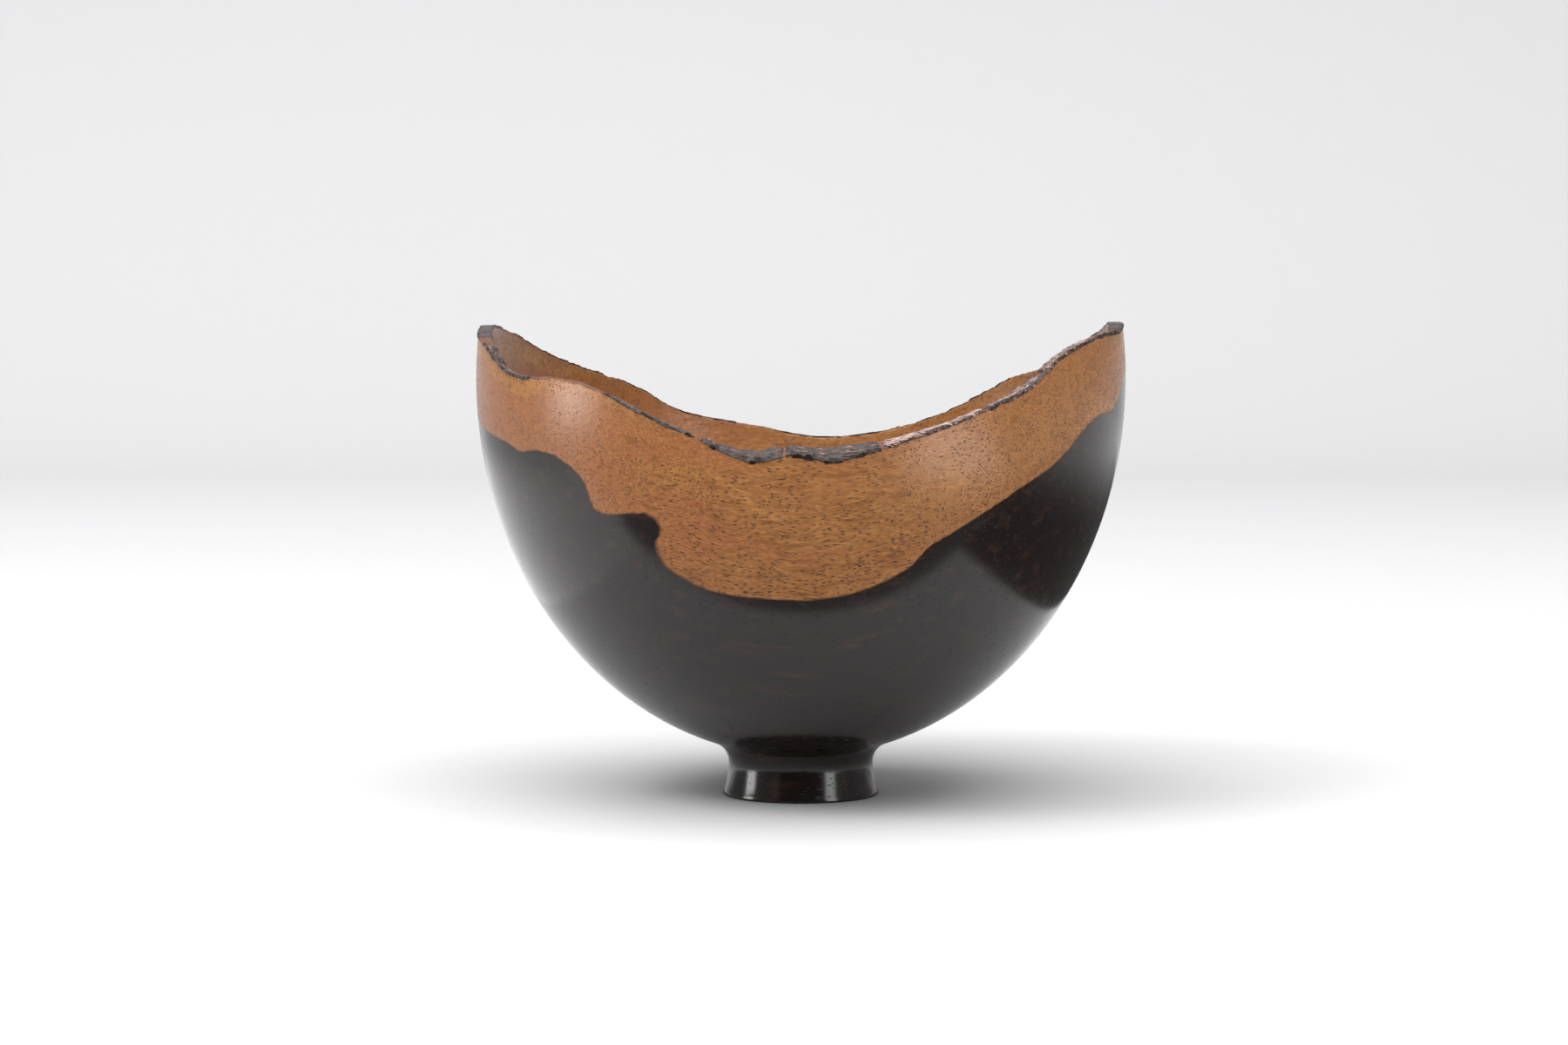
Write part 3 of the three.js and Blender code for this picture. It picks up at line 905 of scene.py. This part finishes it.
class BOWL_OT_stage(bpy.types.Operator):
    """Makes the pale floor, the soft lights and the camera"""

    bl_idname = "bowl.stage"
    bl_label = "Stage"

    def execute(self, context):
        add_floor(context.scene.bowl_colours)
        add_cards()
        add_lights(context.scene)
        add_camera(context.scene)
        return {"FINISHED"}


# The stage.


def add_floor(colours):
    """A floor that sweeps up into a backdrop: one edge, extruded along its outline."""
    deselect()
    outline = [(FLOOR_FRONT, 0.0)]
    for angle in np.linspace(0, math.pi / 2, SWEEP_POINTS):
        outline.append((FLOOR_BACK + SWEEP_RADIUS * math.sin(angle), SWEEP_RADIUS * (1 - math.cos(angle))))
    outline.append((FLOOR_BACK + SWEEP_RADIUS, BACKDROP_HEIGHT))
    bpy.ops.mesh.primitive_plane_add(size=1)
    floor = bpy.context.object
    floor.name = "floor"
    corners = sorted(floor.data.vertices, key=lambda vertex: (vertex.co.y, vertex.co.x))
    for vertex, (y, z) in zip(corners, [outline[0], outline[0], outline[1], outline[1]]):
        vertex.co = (math.copysign(STAGE_HALF_WIDTH, vertex.co.x), y, z)
    bpy.ops.object.mode_set(mode="EDIT")
    bpy.ops.mesh.select_mode(type="EDGE")
    bpy.ops.mesh.select_all(action="DESELECT")
    mesh = bmesh.from_edit_mesh(floor.data)
    far = max(mesh.edges, key=lambda edge: min(vertex.co.y for vertex in edge.verts))
    far.select_set(True)
    bmesh.update_edit_mesh(floor.data)
    for (y, z), (next_y, next_z) in zip(outline[1:], outline[2:]):
        move = {"value": (0, next_y - y, next_z - z)}
        bpy.ops.mesh.extrude_edges_move(TRANSFORM_OT_translate=move)
    bpy.ops.object.mode_set(mode="OBJECT")
    bpy.ops.object.shade_smooth()
    floor.data.materials.append(painted_floor(colours))


def add_card(name, low, high, glow, turn=0.0, lift=0.4 * MM):
    """A flat card just above the floor that only gloss sees, laid from low to high and then turned."""
    deselect()
    bpy.ops.mesh.primitive_plane_add(size=1)
    card = bpy.context.object
    card.name = name
    for vertex in card.data.vertices:
        x = low[0] if vertex.co.x < 0 else high[0]
        y = low[1] if vertex.co.y < 0 else high[1]
        turned_x = x * math.cos(turn) - y * math.sin(turn)
        turned_y = x * math.sin(turn) + y * math.cos(turn)
        vertex.co = (turned_x, turned_y, lift)
    card.data.materials.append(glowing_card(name, glow))
    card.visible_camera = False
    card.visible_diffuse = False
    card.visible_transmission = False
    card.visible_volume_scatter = False
    card.visible_shadow = False
    return card


def add_standing_card(name, low, high, glow, place):
    """The same across the room at a place on Y, with low and high over X and Z."""
    card = add_card(name, low, high, glow)
    for vertex in card.data.vertices:
        vertex.co = (vertex.co.x, place, vertex.co.y)
    return card


def add_cards():
    """The room as the gloss sees it.

    The floor seems to end just in front of the bowl and on both sides of it, as on a plinth. Round it are
    a dark room in front, pale walls behind, two windows and their pools of light on the floor.
    """
    front_glow = fading("Y", PLINTH_FRONT, -0.2, 0.22, 0.04)
    add_card("front_card", (-2.0, ROOM_FRONT), (2.0, PLINTH_FRONT), front_glow)
    right_glow = fading("X", 0.2, 0.45, 0.08, 0.9)
    add_card("side_card", (PLINTH_RIGHT, PLINTH_FRONT), (2.0, PLINTH_BACK), right_glow)
    left_glow = fading("X", -0.2, -0.5, 1.4, 0.6)
    add_card("left_card", (-2.0, PLINTH_FRONT), (PLINTH_LEFT, PLINTH_BACK), left_glow)
    add_standing_card("room_card", (-1.6, -1.0), (1.6, 2.0), 0.03, ROOM_FRONT)
    add_standing_card("left_wall_card", (-4.0, 0.1), (-0.45, 2.5), 0.25, 0.88)
    add_standing_card("right_wall_card", (0.45, 0.1), (4.0, 2.5), 0.25, 0.88)
    add_standing_card("right_window_card", (0.58, 0.0), (1.0, 0.6), 4.8, -0.72)
    add_card("left_pool", (0.75, -0.15), (1.45, 0.15), 16.0, math.radians(186), 0.8 * MM)
    add_card("right_pool", (0.26, -0.1), (0.9, 0.1), 5.5, math.radians(320), 0.8 * MM)
    left = add_standing_card("left_window_card", (-0.21, 0.0), (0.21, 0.42), 8.0, 1.48)
    left.rotation_euler = (0, 0, math.radians(96))


def add_light(name, place, width, height, power, in_gloss):
    """A soft box aimed at the middle of the bowl."""
    light = bpy.data.lights.new(name, "AREA")
    light.shape = "RECTANGLE"
    light.size = width
    light.size_y = height
    light.energy = power
    lamp = bpy.data.objects.new(name, light)
    bpy.context.scene.collection.objects.link(lamp)
    lamp.location = place
    lamp.visible_glossy = in_gloss
    lamp.rotation_euler = (Vector(place) - BOWL_MIDDLE).to_track_quat("Z", "Y").to_euler()


def add_lights(scene):
    """Soft daylight: a high window to the left, a tall one at the front right, and a wide ceiling."""
    add_light("left_window", (-1.2, -0.8, 1.7), 0.8, 0.8, 16.0, in_gloss=False)
    add_light("right_window", (0.75, -0.68, 0.35), 0.34, 0.7, 1.7, in_gloss=False)
    add_light("ceiling", (-0.15, -0.45, 1.7), 2.6, 2.6, 79.0, in_gloss=True)
    world = bpy.data.worlds.new("studio")
    world.use_nodes = True
    tree = world.node_tree
    path = add(tree, "ShaderNodeLightPath").outputs
    strength = remap(tree, path["Is Glossy Ray"], 0.0, 1.0, SKY_DIFFUSE, SKY_GLOSS, smooth=False)
    seen = maths(tree, "MULTIPLY", path["Is Camera Ray"], SKY_SEEN_MORE)
    background = tree.nodes["Background"].inputs
    tree.links.new(maths(tree, "ADD", strength, seen), background["Strength"])
    background["Color"].default_value = (1, 1, 1, 1)
    scene.world = world
    scene.view_settings.view_transform = "Standard"


def add_camera(scene):
    lens = bpy.data.cameras.new("camera")
    lens.lens = 100
    lens.sensor_width = 36
    camera = bpy.data.objects.new("camera", lens)
    scene.collection.objects.link(camera)
    camera.location = (-0.0039, -1.0083, 0.1371)
    camera.rotation_euler = (math.radians(90) - LOOK_DOWN, 0, 0)
    scene.camera = camera


OPERATORS = (BOWL_OT_stage, BOWL_OT_heartwood, BOWL_OT_sapwood, BOWL_OT_bark)


class VIEW3D_PT_bowl(bpy.types.Panel):
    """Lists what makes the bowl"""

    bl_idname = "VIEW3D_PT_bowl"
    bl_label = "Natural-Edge Bowl"
    bl_space_type = "VIEW_3D"
    bl_region_type = "UI"
    bl_category = "Bowl"

    def draw(self, context):
        for operator in OPERATORS:
            self.layout.operator(operator.bl_idname)
        for group in (context.scene.bowl_sizes, context.scene.bowl_colours):
            for name in group.__annotations__:
                self.layout.prop(group, name)


CLASSES = (BowlSizes, BowlColours, *OPERATORS, VIEW3D_PT_bowl)


def register():
    for kind in CLASSES:
        bpy.utils.register_class(kind)
    bpy.types.Scene.bowl_sizes = bpy.props.PointerProperty(type=BowlSizes)
    bpy.types.Scene.bowl_colours = bpy.props.PointerProperty(type=BowlColours)


def unregister():
    del bpy.types.Scene.bowl_colours
    del bpy.types.Scene.bowl_sizes
    for kind in reversed(CLASSES):
        bpy.utils.unregister_class(kind)


def main():
    register()
    bpy.ops.bowl.stage()
    bpy.ops.bowl.heartwood()
    bpy.ops.bowl.sapwood()
    bpy.ops.bowl.bark()


if __name__ == "__main__":
    main()
